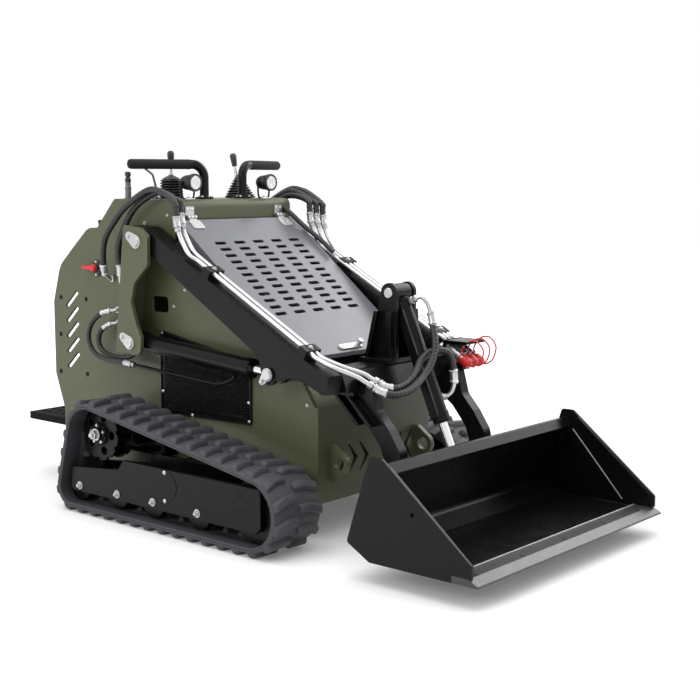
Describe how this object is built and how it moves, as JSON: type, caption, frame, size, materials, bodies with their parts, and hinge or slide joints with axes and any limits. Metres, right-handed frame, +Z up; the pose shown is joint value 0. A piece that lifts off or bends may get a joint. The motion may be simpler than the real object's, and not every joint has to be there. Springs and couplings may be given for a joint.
{
  "type": "stand-on tracked skid steer loader",
  "caption": "Compact stand-on skid steer loader on rubber tracks, with a lifting arm frame, a tilting bucket, a slotted hood and an operator step.",
  "frame": {"origin": "on the ground under the middle of the machine's bounding box", "axes": "+X towards the bucket, +Y to the machine's left as the driver faces, +Z up"},
  "size_m": [2.01, 0.976, 1.0864],
  "materials": {
    "olive_paint": "semi-gloss olive green paint",
    "black_paint": "satin black paint",
    "hood_paint": "semi-gloss black paint",
    "engine_iron": "matt",
    "edge_steel": "dark painted steel",
    "zinc": "zinc plated",
    "chrome": "polished",
    "track_rubber": "matt",
    "hose_rubber": "matt",
    "black_plastic": "matt",
    "red_plastic": "gloss"
  },
  "bodies": {
    "chassis": {"right_wall": "olive_paint", "left_wall": "olive_paint", "front_plate": "olive_paint", "belly_pan": "olive_paint", "rear_cover": "olive_paint", "console": "olive_paint", "engine": "engine_iron", "radiator_grille": "black_paint", "ear_right": "olive_paint", "ear_left": "olive_paint", "pivot_pins_right": "zinc", "pivot_pins_left": "zinc", "track_right": "track_rubber", "track_left": "track_rubber", "track_frame_right": "black_paint", "track_frame_left": "black_paint", "rollers_right": "black_paint", "rollers_left": "black_paint", "final_drive_right": "black_paint", "final_drive_left": "black_paint", "platform": "black_paint", "grab_bar_right": "black_paint", "grab_bar_left": "black_paint", "joystick_right": "black_plastic", "joystick_left": "black_plastic", "lamp_right": "black_plastic", "lamp_left": "black_plastic", "throttle_lever": "black_plastic", "battery_switch": "red_plastic", "hood_hinges": "zinc", "arm_hoses_right": "hose_rubber", "arm_hoses_left": "hose_rubber", "ram_hoses_right": "hose_rubber", "ram_hoses_left": "hose_rubber"},
    "loader_arm": {"arm_right": "black_paint", "arm_left": "black_paint", "cross_member": "black_paint", "leg_right": "black_paint", "leg_left": "black_paint", "tilt_tower": "black_paint", "tower_pin": "zinc", "arm_tubes_right": "zinc", "arm_tubes_left": "zinc", "coupler_block": "black_paint", "tilt_hoses": "hose_rubber"},
    "bucket": {"bucket": "black_paint", "cutting_edge": "edge_steel", "bucket_bracket": "black_paint"},
    "hood": {"hood": "hood_paint", "hood_hardware": "zinc"},
    "lift_barrel_right": {"lift_barrel_right": "black_paint"},
    "lift_barrel_left": {"lift_barrel_left": "black_paint"},
    "lift_rod_right": {"lift_rod_right": "chrome"},
    "lift_rod_left": {"lift_rod_left": "chrome"},
    "tilt_barrel": {"tilt_barrel": "black_paint"},
    "tilt_rod": {"tilt_rod": "chrome"}
  },
  "joints": [
    {"name": "lift", "type": "hinge", "parent": "chassis", "child": "loader_arm", "pos_m": [-0.311, 0, 0.813], "axis": [0, -1, 0], "range_deg": [-2.2, 75], "deforming": ["arm_hoses_right", "arm_hoses_left"]},
    {"name": "tilt", "type": "hinge", "parent": "loader_arm", "child": "bucket", "pos_m": [0.573, 0, 0.176], "axis": [0, 1, 0], "range_deg": [-22, 45]},
    {"name": "hood_open", "type": "hinge", "parent": "chassis", "child": "hood", "pos_m": [-0.23, 0, 0.884], "axis": [0, -1, 0], "range_deg": [0, 60]},
    {"name": "lift_barrel_right_turn", "type": "hinge", "parent": "chassis", "child": "lift_barrel_right", "pos_m": [-0.349, -0.292, 0.509], "axis": [0, -1, 0], "range_deg": [-1.81, 60.05], "deforming": ["ram_hoses_right"]},
    {"name": "lift_rod_right_slide", "type": "slide", "parent": "lift_barrel_right", "child": "lift_rod_right", "axis": [0.9968, 0, -0.0798], "range_m": [-0.01, 0.334]},
    {"name": "lift_barrel_left_turn", "type": "hinge", "parent": "chassis", "child": "lift_barrel_left", "pos_m": [-0.349, 0.292, 0.509], "axis": [0, -1, 0], "range_deg": [-1.81, 60.05], "deforming": ["ram_hoses_left"]},
    {"name": "lift_rod_left_slide", "type": "slide", "parent": "lift_barrel_left", "child": "lift_rod_left", "axis": [0.9968, 0, -0.0798], "range_m": [-0.01, 0.334]},
    {"name": "tilt_barrel_turn", "type": "hinge", "parent": "loader_arm", "child": "tilt_barrel", "pos_m": [0.411, 0, 0.683], "axis": [0, -1, 0], "range_deg": [-1.37, 2.75], "deforming": ["tilt_hoses"]},
    {"name": "tilt_rod_slide", "type": "slide", "parent": "tilt_barrel", "child": "tilt_rod", "axis": [0.4059, 0, -0.9139], "range_m": [-0.0255, 0.052]}
  ],
  "couplings": [
    {"joint": "lift_barrel_right_turn", "follows": "lift", "ratio": 0.8},
    {"joint": "lift_rod_right_slide", "follows": "lift", "m_per_rad": 0.255},
    {"joint": "lift_barrel_left_turn", "follows": "lift", "ratio": 0.8},
    {"joint": "lift_rod_left_slide", "follows": "lift", "m_per_rad": 0.255},
    {"joint": "tilt_barrel_turn", "follows": "tilt", "ratio": 0.06},
    {"joint": "tilt_rod_slide", "follows": "tilt", "m_per_rad": 0.0659}
  ]
}
